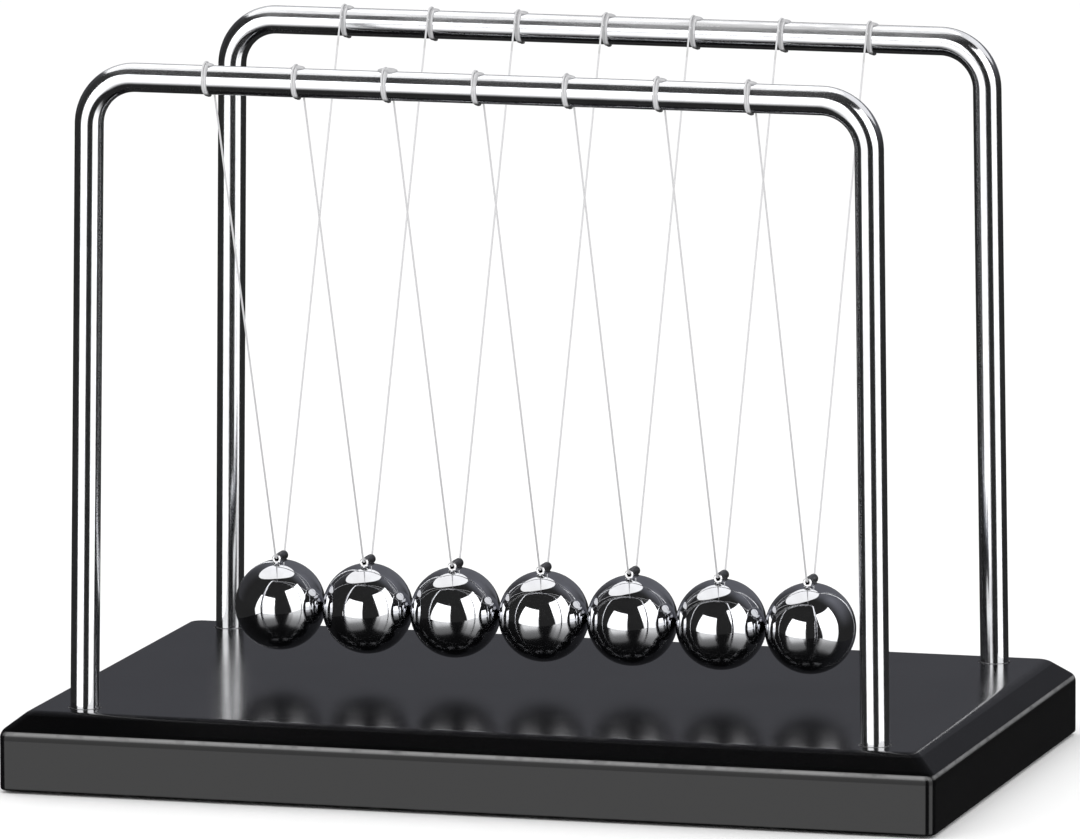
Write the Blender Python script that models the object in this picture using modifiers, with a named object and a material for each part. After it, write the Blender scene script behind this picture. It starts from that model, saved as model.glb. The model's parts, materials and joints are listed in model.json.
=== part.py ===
"""A Newton's cradle: seven steel balls hung on nylon threads from two bent steel hoops on a board.

Metres, +Z up, balls in a row along X. The origin is on the table, under the middle of the board.
Ball 1 is at -X. Each ball swings in the XZ plane about a line along Y through its two thread ties.
"""

from math import atan2, cos, pi, radians, sin

import bmesh
import bpy
from mathutils import Matrix, Vector

MM = 0.001

# Driving dimensions
BALL_COUNT = 7
BALL_DIAMETER = 19.05 * MM
BALL_GAP = 0.1 * MM
BALL_HEIGHT = 14.4 * MM  # ball centre above the board's top face
ROD_DIAMETER = 6.0 * MM
RAIL_HEIGHT = 131.5 * MM  # rail axis above the board's top face
HOOP_WIDTH_TOP = 165.0 * MM  # between leg axes, where the bends start
HOOP_WIDTH_FEET = 168.6 * MM  # between leg axes, at the board
HOOP_SPACING_TOP = 99.2 * MM  # between the two rails
HOOP_SPACING_FEET = 101.4 * MM
BEND_RADIUS = 10.0 * MM  # of the rod's axis
BOARD_LENGTH = 199.0 * MM
BOARD_WIDTH = 125.0 * MM
BOARD_THICKNESS = 16.2 * MM
CHAMFER_WIDTH = 5.0 * MM
CHAMFER_DROP = 4.0 * MM
CORNER_RADIUS = 2.0 * MM
EDGE_RADIUS = 0.7 * MM
FOOT_DIAMETER = 12.0 * MM
FOOT_THICKNESS = 1.5 * MM
FOOT_SHOWING = 0.5 * MM
FOOT_CHAMFER = 0.2 * MM
POCKET_GAP = 0.3 * MM  # radial gap between a foot and its pocket
FOOT_INSET_X = 32.0 * MM  # foot axis from the board's end, clear of the leg's counterbore
FOOT_INSET_Y = 13.0 * MM  # foot axis from the board's long side
THREAD_DIAMETER = 0.4 * MM
THREAD_BEND = 0.5 * MM  # size of the thread's turn into the eyelet
EYELET_DIAMETER = 2.0 * MM
EYELET_BORE = 0.9 * MM
EYELET_LENGTH = 5.5 * MM
EYELET_RISE = 0.55 * MM  # tube axis above the top of the ball
LOOP_WIDTH = 1.2 * MM
LOOP_THICKNESS = 0.5 * MM
LOOP_EDGE = 0.15 * MM  # chamfer on the loop's outer edges
KNOT_RADIUS = 0.65 * MM
KNOT_OFFSET = 0.2 * MM  # of the knot along the rail, from the middle of the loop
WASHER_DIAMETER = 11.6 * MM
WASHER_THICKNESS = 1.0 * MM
NUT_ACROSS_FLATS = 10.0 * MM
NUT_THICKNESS = 5.0 * MM
COUNTERBORE_DIAMETER = 13.0 * MM
COUNTERBORE_DEPTH = 7.2 * MM
RIM_DIAMETER = 7.4 * MM  # the hole's countersunk rim on the top face
RIM_DEPTH = 0.5 * MM
FIT_GAP = 0.1 * MM  # radial gap between a piece and what it sits in or on
FACE_GAP = 0.2 * MM  # gap between two flat faces that rest on each other
HOLE_GAP = 0.15 * MM  # radial gap between a leg and its hole
ROD_END_INSET = 0.6 * MM  # rod end above the board's underside
CUT_BEYOND = 1.0 * MM  # how far a cutter runs past the face it cuts

# Worked out from them
BOARD_BOTTOM = FOOT_SHOWING
BOARD_TOP = BOARD_BOTTOM + BOARD_THICKNESS
RAIL_Z = BOARD_TOP + RAIL_HEIGHT
RAIL_Y = HOOP_SPACING_TOP / 2
LEG_X = HOOP_WIDTH_FEET / 2
LEG_Y = HOOP_SPACING_FEET / 2
ROD_RADIUS = ROD_DIAMETER / 2
ROD_END = BOARD_BOTTOM + ROD_END_INSET
BALL_RADIUS = BALL_DIAMETER / 2
BALL_PITCH = BALL_DIAMETER + BALL_GAP
BALL_Z = BOARD_TOP + BALL_HEIGHT
EYELET_Z = BALL_Z + BALL_RADIUS + EYELET_RISE
THREAD_RADIUS = THREAD_DIAMETER / 2
LOOP_INNER = ROD_RADIUS + FIT_GAP
LOOP_OUTER = LOOP_INNER + LOOP_THICKNESS
TIE_RADIUS = LOOP_OUTER + FIT_GAP + THREAD_RADIUS  # rail axis to thread axis, at the tie
THREAD_LEAN = atan2(RAIL_Y - TIE_RADIUS - EYELET_LENGTH / 2, RAIL_Z - EYELET_Z)  # from vertical
PIVOT_Y = RAIL_Y - TIE_RADIUS * cos(THREAD_LEAN)
PIVOT_Z = RAIL_Z + TIE_RADIUS * sin(THREAD_LEAN)
COUNTERBORE_TOP = BOARD_BOTTOM + COUNTERBORE_DEPTH
FOOT_X = BOARD_LENGTH / 2 - FOOT_INSET_X
FOOT_Y = BOARD_WIDTH / 2 - FOOT_INSET_Y

# Mesh fineness
BALL_SEGMENTS = 24
BALL_RINGS = 12
HOLE_SIDES = 24
BEND_STEPS = 6
THREAD_BEND_STEPS = 3
EYELET_SIDES = 12
LOOP_SIDES = 16
ROD_RESOLUTION = 4
THREAD_RESOLUTION = 2
SMOOTH_ANGLE = radians(35)

CORNERS = {
    "front_left": (-1, -1),
    "front_right": (1, -1),
    "rear_left": (-1, 1),
    "rear_right": (1, 1),
}
RAILS = {"front": -1, "rear": 1}


def clear_scene():
    for obj in list(bpy.data.objects):
        bpy.data.objects.remove(obj, do_unlink=True)


def new_collection(name):
    collection = bpy.data.collections.new(name)
    bpy.context.scene.collection.children.link(collection)
    return collection


def new_material(name, colour, roughness, metallic, alpha=1.0):
    material = bpy.data.materials.new(name)
    material.use_nodes = True
    shader = material.node_tree.nodes["Principled BSDF"]
    shader.inputs["Base Color"].default_value = (*colour, 1.0)
    shader.inputs["Roughness"].default_value = roughness
    shader.inputs["Metallic"].default_value = metallic
    shader.inputs["Alpha"].default_value = alpha
    material.diffuse_color = (*colour, alpha)
    return material


def mesh_from(bm, name):
    """Finishes a bmesh as mesh data, shaded smooth with its sharp edges kept."""
    bmesh.ops.recalc_face_normals(bm, faces=bm.faces)
    mesh = bpy.data.meshes.new(name)
    bm.to_mesh(mesh)
    bm.free()
    mesh.shade_smooth()
    mesh.set_sharp_from_angle(angle=SMOOTH_ANGLE)
    return mesh


def place(name, data, collection, material, location=(0, 0, 0)):
    obj = bpy.data.objects.new(name, data)
    obj.location = location
    collection.objects.link(obj)
    if material and not data.materials:
        data.materials.append(material)
    return obj


def as_cutter(obj):
    obj.hide_render = True
    obj.display_type = "WIRE"
    return obj


def add_boolean(obj, other, operation="DIFFERENCE"):
    modifier = obj.modifiers.new(operation.title() + " " + other.name, "BOOLEAN")
    modifier.operation = operation
    modifier.solver = "EXACT"
    modifier.object = other


def evaluated_mesh(obj, name):
    """The object's mesh with its modifiers applied, welded closed."""
    bpy.context.view_layer.update()
    graph = bpy.context.evaluated_depsgraph_get()
    source = bpy.data.meshes.new_from_object(obj.evaluated_get(graph))
    bm = bmesh.new()
    bm.from_mesh(source)
    bmesh.ops.remove_doubles(bm, verts=bm.verts, dist=1e-7)
    bpy.data.meshes.remove(source)
    return mesh_from(bm, name)


def turned(name, profile, collection, material, steps):
    """A solid turned about Z from a closed profile of (radius, height), running down its outer side."""
    bm = bmesh.new()
    verts = [bm.verts.new((radius, 0.0, height)) for radius, height in profile]
    for a, b in zip(verts, verts[1:] + verts[:1]):
        bm.edges.new((a, b))
    mesh = bpy.data.meshes.new(name)
    bm.to_mesh(mesh)
    bm.free()
    obj = place(name, mesh, collection, material)
    screw = obj.modifiers.new("Turn", "SCREW")
    screw.axis = "Z"
    screw.steps = steps
    screw.render_steps = steps
    screw.use_merge_vertices = True
    screw.merge_threshold = 1e-7
    return obj


def cylinder_mesh(name, radius, depth, sides, axis="Z"):
    bm = bmesh.new()
    bmesh.ops.create_cone(
        bm, cap_ends=True, segments=sides, radius1=radius, radius2=radius, depth=depth
    )
    if axis == "Y":
        bmesh.ops.rotate(bm, verts=bm.verts, matrix=Matrix.Rotation(pi / 2, 3, "X"))
    return mesh_from(bm, name)


def rod_curve(name, points, radius, resolution, collection, material):
    """A round rod or thread along a list of points, with closed ends."""
    curve = bpy.data.curves.new(name, "CURVE")
    curve.dimensions = "3D"
    curve.bevel_depth = radius
    curve.bevel_resolution = resolution
    curve.use_fill_caps = True
    spline = curve.splines.new("POLY")
    spline.points.add(len(points) - 1)
    for point, target in zip(spline.points, points):
        point.co = (*target, 1.0)
    return place(name, curve, collection, material)


# The board and what is fastened in it


def make_board(parts, cutters, material):
    side_height = BOARD_THICKNESS - CHAMFER_DROP
    bm = bmesh.new()
    bmesh.ops.create_cube(bm, size=1.0)
    bmesh.ops.scale(bm, verts=bm.verts, vec=(BOARD_LENGTH, BOARD_WIDTH, side_height))
    top = max(bm.faces, key=lambda face: face.calc_center_median().z)
    bmesh.ops.inset_region(bm, faces=[top], thickness=CHAMFER_WIDTH, use_even_offset=True)
    for vert in top.verts:
        vert.co.z += CHAMFER_DROP
    corner_edges = [
        edge
        for edge in bm.edges
        if edge.verts[0].co.x * edge.verts[1].co.x > 0
        and edge.verts[0].co.y * edge.verts[1].co.y > 0
    ]
    bmesh.ops.bevel(
        bm, geom=corner_edges, offset=CORNER_RADIUS, segments=4, profile=0.5, affect="EDGES"
    )
    location = (0, 0, BOARD_BOTTOM + side_height / 2)
    board = place("base_board", mesh_from(bm, "base_board"), parts, material, location)
    edges = board.modifiers.new("Rounded edges", "BEVEL")
    edges.width = EDGE_RADIUS
    edges.segments = 2
    edges.limit_method = "ANGLE"
    edges.angle_limit = radians(30)
    for corner, (side_x, side_y) in CORNERS.items():
        add_boolean(board, leg_hole_cutter(corner, side_x, side_y, cutters))
        add_boolean(board, foot_pocket_cutter(corner, side_x, side_y, cutters))
    return board


def leg_hole_cutter(corner, side_x, side_y, cutters):
    """One turned cutter for a leg's rim, hole and counterbore."""
    hole = ROD_RADIUS + HOLE_GAP
    rim = RIM_DIAMETER / 2
    counterbore = COUNTERBORE_DIAMETER / 2
    profile = [
        (0.0, BOARD_TOP + CUT_BEYOND),
        (rim + CUT_BEYOND * (rim - hole) / RIM_DEPTH, BOARD_TOP + CUT_BEYOND),
        (hole, BOARD_TOP - RIM_DEPTH),
        (hole, COUNTERBORE_TOP),
        (counterbore, COUNTERBORE_TOP),
        (counterbore, BOARD_BOTTOM - CUT_BEYOND),
        (0.0, BOARD_BOTTOM - CUT_BEYOND),
    ]
    cutter = as_cutter(turned("leg_hole_" + corner, profile, cutters, None, HOLE_SIDES))
    cutter.location = (side_x * LEG_X, side_y * LEG_Y, 0)
    return cutter


def foot_pocket_cutter(corner, side_x, side_y, cutters):
    depth = FOOT_THICKNESS - FOOT_SHOWING + FACE_GAP
    radius = FOOT_DIAMETER / 2 + POCKET_GAP
    mesh = cylinder_mesh("foot_pocket_" + corner, radius, depth + CUT_BEYOND, HOLE_SIDES)
    height = BOARD_BOTTOM + (depth - CUT_BEYOND) / 2
    location = (side_x * FOOT_X, side_y * FOOT_Y, height)
    return as_cutter(place("foot_pocket_" + corner, mesh, cutters, None, location))


def foot_mesh():
    radius = FOOT_DIAMETER / 2
    bm = bmesh.new()
    bmesh.ops.create_cone(
        bm, cap_ends=True, segments=HOLE_SIDES, radius1=radius, radius2=radius, depth=FOOT_THICKNESS
    )
    rim = [edge for edge in bm.edges if abs(edge.verts[0].co.z - edge.verts[1].co.z) < 1e-9]
    bmesh.ops.bevel(bm, geom=rim, offset=FOOT_CHAMFER, segments=1, affect="EDGES")
    return mesh_from(bm, "foot")


def make_feet(parts, material):
    mesh = foot_mesh()
    for corner, (side_x, side_y) in CORNERS.items():
        location = (side_x * FOOT_X, side_y * FOOT_Y, FOOT_THICKNESS / 2)
        place("foot_" + corner, mesh, parts, material, location)


def hoop_points(side):
    """The rod's axis: up one leg, round a bend, along the rail, round a bend and down the other leg."""
    top_x = HOOP_WIDTH_TOP / 2
    bend_z = RAIL_Z - BEND_RADIUS
    half = [Vector((LEG_X, side * LEG_Y, ROD_END)), Vector((LEG_X, side * LEG_Y, BOARD_TOP))]
    for step in range(BEND_STEPS + 1):
        angle = pi / 2 * step / BEND_STEPS
        x = top_x - BEND_RADIUS * (1 - cos(angle))
        half.append(Vector((x, side * RAIL_Y, bend_z + BEND_RADIUS * sin(angle))))
    return half + [Vector((-p.x, p.y, p.z)) for p in reversed(half)]


def make_hoops(parts, material):
    for rail, side in RAILS.items():
        rod_curve(rail + "_hoop", hoop_points(side), ROD_RADIUS, ROD_RESOLUTION, parts, material)


def make_fasteners(parts, cutters, material):
    """A washer and a nut on each leg, in the counterbore under the board."""
    hole = ROD_RADIUS + FIT_GAP
    outer = WASHER_DIAMETER / 2
    washer_top = COUNTERBORE_TOP - FACE_GAP
    nut_top = washer_top - WASHER_THICKNESS - FACE_GAP
    washer_profile = [
        (outer, 0.0),
        (outer, -WASHER_THICKNESS),
        (hole, -WASHER_THICKNESS),
        (hole, 0.0),
    ]
    bore = cylinder_mesh("nut_bore", hole, 2 * NUT_THICKNESS, HOLE_SIDES)
    nut_bore = as_cutter(place("nut_bore", bore, cutters, None))
    blank = cylinder_mesh("nut_blank", NUT_ACROSS_FLATS / 2 / cos(pi / 6), NUT_THICKNESS, 6)
    nut_blank = as_cutter(place("nut_blank", blank, cutters, None))
    add_boolean(nut_blank, nut_bore)
    nut = evaluated_mesh(nut_blank, "hoop_nut")
    for corner, (side_x, side_y) in CORNERS.items():
        axis = (side_x * LEG_X, side_y * LEG_Y)
        washer = turned("hoop_washer_" + corner, washer_profile, parts, material, HOLE_SIDES)
        washer.location = (*axis, washer_top)
        place("hoop_nut_" + corner, nut, parts, material, (*axis, nut_top - NUT_THICKNESS / 2))


# The pendulums


def ball_mesh(cutters):
    """A ball with a shallow groove over its top, where the eyelet is seated."""
    bm = bmesh.new()
    bmesh.ops.create_uvsphere(
        bm, u_segments=BALL_SEGMENTS, v_segments=BALL_RINGS, radius=BALL_RADIUS
    )
    blank = as_cutter(place("ball_blank", mesh_from(bm, "ball_blank"), cutters, None))
    groove_radius = EYELET_DIAMETER / 2 + FIT_GAP
    groove = cylinder_mesh("eyelet_groove", groove_radius, BALL_DIAMETER, EYELET_SIDES, "Y")
    groove_height = (0, 0, BALL_RADIUS + EYELET_RISE)
    add_boolean(blank, as_cutter(place("eyelet_groove", groove, cutters, None, groove_height)))
    return evaluated_mesh(blank, "ball")


def eyelet_mesh(cutters):
    profile = [
        (EYELET_DIAMETER / 2, EYELET_LENGTH / 2),
        (EYELET_DIAMETER / 2, -EYELET_LENGTH / 2),
        (EYELET_BORE / 2, -EYELET_LENGTH / 2),
        (EYELET_BORE / 2, EYELET_LENGTH / 2),
    ]
    tube = as_cutter(turned("eyelet_blank", profile, cutters, None, EYELET_SIDES))
    mesh = evaluated_mesh(tube, "eyelet")
    mesh.transform(Matrix.Rotation(pi / 2, 4, "X"))
    return mesh


def thread_points():
    """Half of the V and back: tie, straight run, tight bend into the eyelet, then its mirror image.

    Heights and depths are measured from the pivot, which is the thread object's origin.
    """
    eyelet_z = EYELET_Z - PIVOT_Z
    mouth = EYELET_LENGTH / 2 + THREAD_RADIUS + FIT_GAP
    run_end = Vector((0, mouth + THREAD_BEND * sin(THREAD_LEAN), eyelet_z + THREAD_BEND))
    corner = Vector((0, mouth, eyelet_z))
    run_in = Vector((0, mouth - THREAD_BEND, eyelet_z))
    half = [Vector((0, PIVOT_Y, 0))]
    for step in range(THREAD_BEND_STEPS + 1):
        t = step / THREAD_BEND_STEPS
        half.append(run_end * (1 - t) ** 2 + corner * 2 * t * (1 - t) + run_in * t**2)
    return [Vector((0, -p.y, p.z)) for p in half] + list(reversed(half))


def make_pendulums(parts, cutters, steel, nylon, tube_steel):
    ball = ball_mesh(cutters)
    eyelet = eyelet_mesh(cutters)
    points = thread_points()
    for index in range(BALL_COUNT):
        number = str(index + 1)
        pivot = bpy.data.objects.new("pivot_" + number, None)
        pivot.location = ((index - (BALL_COUNT - 1) / 2) * BALL_PITCH, 0, PIVOT_Z)
        parts.objects.link(pivot)
        pieces = [
            place("ball_" + number, ball, parts, steel, (0, 0, BALL_Z - PIVOT_Z)),
            place("eyelet_" + number, eyelet, parts, tube_steel, (0, 0, EYELET_Z - PIVOT_Z)),
            rod_curve("thread_" + number, points, THREAD_RADIUS, THREAD_RESOLUTION, parts, nylon),
        ]
        for piece in pieces:
            piece.parent = pivot


def loop_mesh(cutters):
    """The wraps round a rail, with the knot on top."""
    half_width = LOOP_WIDTH / 2
    profile = [
        (LOOP_OUTER - LOOP_EDGE, half_width),
        (LOOP_OUTER, half_width - LOOP_EDGE),
        (LOOP_OUTER, LOOP_EDGE - half_width),
        (LOOP_OUTER - LOOP_EDGE, -half_width),
        (LOOP_INNER, -half_width),
        (LOOP_INNER, half_width),
    ]
    ring = as_cutter(turned("loop_blank", profile, cutters, None, LOOP_SIDES))
    bm = bmesh.new()
    bmesh.ops.create_icosphere(bm, subdivisions=1, radius=KNOT_RADIUS)
    knot_place = (0, LOOP_OUTER + KNOT_RADIUS / 3, KNOT_OFFSET)
    knot = as_cutter(place("knot_blank", mesh_from(bm, "knot_blank"), cutters, None, knot_place))
    add_boolean(ring, knot, "UNION")
    mesh = evaluated_mesh(ring, "loop")
    mesh.transform(Matrix.Rotation(pi / 2, 4, "Y") @ Matrix.Rotation(pi / 2, 4, "Z"))
    return mesh


def make_loops(parts, cutters, material):
    loop = loop_mesh(cutters)
    for rail, side in RAILS.items():
        for index in range(BALL_COUNT):
            x = (index - (BALL_COUNT - 1) / 2) * BALL_PITCH
            name = f"{rail}_loop_{index + 1}"
            place(name, loop, parts, material, (x, side * RAIL_Y, RAIL_Z))


def main():
    clear_scene()
    parts = new_collection("newtons_cradle")
    cutters = new_collection("cutters")
    lacquer = new_material("black_lacquer", (0.012, 0.012, 0.014), 0.25, 0.0)
    chrome = new_material("chrome", (0.80, 0.81, 0.83), 0.05, 1.0)
    polished = new_material("polished_steel", (0.74, 0.75, 0.77), 0.04, 1.0)
    plain_steel = new_material("plain_steel", (0.55, 0.56, 0.58), 0.3, 1.0)
    zinc = new_material("zinc_plate", (0.62, 0.62, 0.60), 0.35, 1.0)
    nylon = new_material("nylon", (0.75, 0.76, 0.78), 0.3, 0.0, 0.7)
    rubber = new_material("black_rubber", (0.02, 0.02, 0.02), 0.8, 0.0)
    make_board(parts, cutters, lacquer)
    make_feet(parts, rubber)
    make_hoops(parts, chrome)
    make_fasteners(parts, cutters, zinc)
    make_loops(parts, cutters, nylon)
    make_pendulums(parts, cutters, polished, nylon, plain_steel)


main()
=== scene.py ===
"""The looks of a Newton's cradle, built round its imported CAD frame."""

import json
import math
import random

import bpy
import numpy as np
from mathutils import Matrix, Vector


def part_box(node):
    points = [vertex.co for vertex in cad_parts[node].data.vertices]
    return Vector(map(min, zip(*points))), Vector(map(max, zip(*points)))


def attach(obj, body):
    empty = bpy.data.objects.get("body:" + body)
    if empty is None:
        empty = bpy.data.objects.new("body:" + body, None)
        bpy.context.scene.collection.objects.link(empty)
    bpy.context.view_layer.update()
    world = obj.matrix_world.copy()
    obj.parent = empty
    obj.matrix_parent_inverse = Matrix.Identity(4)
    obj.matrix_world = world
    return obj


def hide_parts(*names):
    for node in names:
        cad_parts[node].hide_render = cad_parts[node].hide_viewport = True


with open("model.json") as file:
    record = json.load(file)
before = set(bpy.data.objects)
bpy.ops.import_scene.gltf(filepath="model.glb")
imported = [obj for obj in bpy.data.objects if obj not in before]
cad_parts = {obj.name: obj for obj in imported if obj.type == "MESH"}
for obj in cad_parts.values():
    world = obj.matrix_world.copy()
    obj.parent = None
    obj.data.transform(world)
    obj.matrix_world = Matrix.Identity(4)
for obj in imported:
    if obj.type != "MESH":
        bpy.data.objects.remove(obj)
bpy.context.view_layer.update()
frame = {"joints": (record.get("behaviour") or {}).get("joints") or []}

MM = 0.001
BALLS = 7
CORNERS = ("front_left", "front_right", "rear_left", "rear_right")
RAILS = {"front": -1, "rear": 1}


# Places and sizes, from the frame and given numbers


def centre(node):
    low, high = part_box(node)
    return (low + high) / 2


BOARD_LOW, BOARD_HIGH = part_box("base_board")
ROD_R = 3.0 * MM
RAIL_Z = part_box("front_hoop")[1].z - ROD_R
RAIL_Y = {rail: centre(rail + "_loop_1").y for rail in RAILS}
LEGS = {corner: centre("hoop_washer_" + corner) for corner in CORNERS}
ROD_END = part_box("front_hoop")[0].z
LEG_SPLAY = 1.8 * MM  # how far out a leg's foot stands from the rail's end
TOP_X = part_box("front_hoop")[1].x - ROD_R - LEG_SPLAY
BALL_LOW, BALL_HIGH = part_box("ball_1")
BALL_R = (BALL_HIGH.x - BALL_LOW.x) / 2
BALL_Z = BALL_LOW.z + BALL_R
EYELET_LOW, EYELET_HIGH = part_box("eyelet_1")
EYELET_R = (EYELET_HIGH.x - EYELET_LOW.x) / 2
EYELET_HALF = (EYELET_HIGH.y - EYELET_LOW.y) / 2
EYELET_Z = (EYELET_HIGH.z + EYELET_LOW.z) / 2
EYELET_BORE = 0.45 * MM
STRAND = 0.2 * MM
TIE_R = 3.9 * MM
PIVOT_Z = frame["joints"][0]["pos_m"][2]
LEAN = math.asin((PIVOT_Z - RAIL_Z) / TIE_R)
PIVOT_Y = RAIL_Y["rear"] - TIE_R * math.cos(LEAN)
BEND_R = 10.0 * MM
LEG_HOLE_R = 3.15 * MM
LEG_RIM_R = 3.5 * MM
RIM_DEPTH = 0.2 * MM
COUNTERBORE_R = 6.5 * MM
POCKET_R = 6.3 * MM
FACE_GAP = 0.2 * MM


# Mesh making


def mesh_object(name, verts, faces, uvs=None, sharp=None):
    mesh = bpy.data.meshes.new(name)
    mesh.from_pydata([tuple(v) for v in verts], [], faces)
    if uvs is not None:
        layer = mesh.uv_layers.new(name="UVMap")
        for loop in mesh.loops:
            layer.data[loop.index].uv = uvs[loop.vertex_index]
    mesh.validate()
    mesh.shade_smooth()
    if sharp:
        mesh.set_sharp_from_angle(angle=math.radians(sharp))
    obj = bpy.data.objects.new(name, mesh)
    bpy.context.scene.collection.objects.link(obj)
    return obj


def swept(points, radii, sides, cap=True):
    """Vertices, faces and UVs of a tube along points; radii is one number or one for each point."""
    points = [Vector(p) for p in points]
    count = len(points)
    radii = [radii] * count if isinstance(radii, (int, float)) else radii
    tangents = []
    for i in range(count):
        a = points[max(i - 1, 0)]
        b = points[min(i + 1, count - 1)]
        tangents.append((b - a).normalized())
    start = Vector((1, 0, 0)) if abs(tangents[0].x) < 0.8 else Vector((0, 1, 0))
    side = (start - tangents[0] * start.dot(tangents[0])).normalized()
    verts, faces, uvs, run = [], [], [], 0.0
    for i in range(count):
        if i:
            run += (points[i] - points[i - 1]).length
            side = tangents[i - 1].rotation_difference(tangents[i]) @ side
            side = (side - tangents[i] * side.dot(tangents[i])).normalized()
        other = tangents[i].cross(side)
        for k in range(sides):
            angle = 2 * math.pi * k / sides
            offset = side * math.cos(angle) + other * math.sin(angle)
            verts.append(points[i] + offset * radii[i])
            uvs.append((k / sides, run))
    for i in range(count - 1):
        for k in range(sides):
            a, b = i * sides + k, i * sides + (k + 1) % sides
            faces.append((a, b, b + sides, a + sides))
    if cap:
        faces.append(tuple(reversed(range(sides))))
        faces.append(tuple(range((count - 1) * sides, count * sides)))
    return verts, faces, uvs


def joined(parts):
    verts, faces, uvs = [], [], []
    for part_verts, part_faces, part_uvs in parts:
        base = len(verts)
        verts += part_verts
        uvs += part_uvs
        faces += [tuple(i + base for i in face) for face in part_faces]
    return verts, faces, uvs


def turned(profile, steps):
    """A solid turned about Z from a closed profile of (radius, height)."""
    verts, faces, uvs = [], [], []
    count = len(profile)
    for s in range(steps):
        angle = 2 * math.pi * s / steps
        for k, (r, z) in enumerate(profile):
            verts.append(Vector((r * math.cos(angle), r * math.sin(angle), z)))
            uvs.append((s / steps, k / count))
    for s in range(steps):
        t = (s + 1) % steps
        for k in range(count):
            m = (k + 1) % count
            faces.append((s * count + k, t * count + k, t * count + m, s * count + m))
    return verts, faces, uvs


def blob(place, sizes, seed, rings=10, sides=16, rough=0.08):
    """A slightly uneven rounded bead."""
    rng = random.Random(seed)
    waves = [(rng.uniform(1, 4), rng.uniform(0, 6.28), rng.uniform(0.3, 1)) for _ in range(4)]
    verts, faces, uvs = [], [], []

    def point(a, b):
        d = Vector((math.sin(a) * math.cos(b), math.sin(a) * math.sin(b), math.cos(a)))
        bump = sum(w * math.sin(f * (d.x + d.y * 1.3 + d.z * 0.7) + p) for f, p, w in waves) / 4
        r = 1 + rough * bump
        return Vector(place) + Vector((d.x * sizes[0], d.y * sizes[1], d.z * sizes[2])) * r

    verts.append(point(0, 0))
    uvs.append((0, 0))
    for i in range(1, rings):
        for k in range(sides):
            verts.append(point(math.pi * i / rings, 2 * math.pi * k / sides))
            uvs.append((k / sides, i / rings))
    verts.append(point(math.pi, 0))
    uvs.append((0, 1))
    for k in range(sides):
        faces.append((0, 1 + k, 1 + (k + 1) % sides))
        last = 1 + (rings - 2) * sides
        faces.append((len(verts) - 1, last + (k + 1) % sides, last + k))
    for i in range(rings - 2):
        for k in range(sides):
            a, b = 1 + i * sides + k, 1 + i * sides + (k + 1) % sides
            faces.append((a, a + sides, b + sides, b))
    return verts, faces, uvs


# Materials


def new_material(name, colour, roughness, metallic=0.0):
    material = bpy.data.materials.new(name)
    material.use_nodes = True
    tree = material.node_tree
    shader = tree.nodes["Principled BSDF"]
    shader.inputs["Base Color"].default_value = (*colour, 1)
    shader.inputs["Roughness"].default_value = roughness
    shader.inputs["Metallic"].default_value = metallic
    return material, tree, shader


def add_node(tree, kind, inputs=(), **settings):
    node = tree.nodes.new(kind)
    for key, value in settings.items():
        setattr(node, key, value)
    for key, value in dict(inputs).items():
        if isinstance(value, bpy.types.NodeSocket):
            tree.links.new(value, node.inputs[key])
        else:
            node.inputs[key].default_value = value
    return node


def noise(tree, vector, scale, detail=3.0, rough=0.5):
    inputs = {"Vector": vector, "Scale": scale, "Detail": detail, "Roughness": rough}
    return add_node(tree, "ShaderNodeTexNoise", inputs).outputs["Fac"]


def remap(tree, value, low, high, to_low, to_high):
    inputs = {"Value": value, "From Min": low, "From Max": high, "To Min": to_low, "To Max": to_high}
    return add_node(tree, "ShaderNodeMapRange", inputs, clamp=True).outputs["Result"]


def stretched(tree, vector, scale):
    return add_node(tree, "ShaderNodeMapping", {"Vector": vector, "Scale": scale}).outputs["Vector"]


def maths(tree, operation, a, b=0.0):
    return add_node(tree, "ShaderNodeMath", {0: a, 1: b}, operation=operation).outputs[0]


def tint(tree, fac, first, second):
    """A colour between first and second; each is a colour or another node's output."""
    node = add_node(tree, "ShaderNodeMix", data_type="RGBA")
    tree.links.new(fac, node.inputs["Factor"])
    for place, colour in ((6, first), (7, second)):
        if isinstance(colour, bpy.types.NodeSocket):
            tree.links.new(colour, node.inputs[place])
        else:
            node.inputs[place].default_value = (*colour, 1)
    return node.outputs[2]


def bump(tree, height, strength, distance, before=None):
    inputs = {"Height": height, "Strength": strength, "Distance": distance}
    if before is not None:
        inputs["Normal"] = before
    return add_node(tree, "ShaderNodeBump", inputs).outputs["Normal"]


def rail_top_sheen(tree, place):
    """How much grey, less metallic sheen is painted along the top of the rails, more on the rear one: a
    painted highlight on the rods' tops.
    """
    along, across, height = add_node(tree, "ShaderNodeSeparateXYZ", {0: place}).outputs
    on_top = remap(tree, height, RAIL_Z + 0.3 * MM, RAIL_Z + 1.5 * MM, 0, 1)
    front = remap(tree, height, RAIL_Z + 1.7 * MM, RAIL_Z + 2.3 * MM, 0.12, 0.5)
    left_part = remap(tree, along, -60 * MM, -5 * MM, 0.35, 1)
    right_part = remap(tree, along, 62 * MM, 80 * MM, 1, 0.4)
    rear = maths(tree, "MULTIPLY", left_part, right_part)
    rear = maths(tree, "MULTIPLY", rear, remap(tree, across, -MM, MM, 0, 1))
    amount = maths(tree, "MAXIMUM", rear, front)
    streaks = noise(tree, stretched(tree, place, (95, 640, 640)), 1.0, 5, 0.62)
    patches = noise(tree, stretched(tree, place, (34, 90, 90)), 1.0, 2)
    streaky = remap(tree, streaks, 0.38, 0.6, 0.4, 1)
    patchy = remap(tree, patches, 0.36, 0.56, 0.3, 1)
    sheen_breakup = maths(tree, "MULTIPLY", streaky, patchy)
    return maths(tree, "MULTIPLY", maths(tree, "MULTIPLY", on_top, amount), sheen_breakup)


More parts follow.
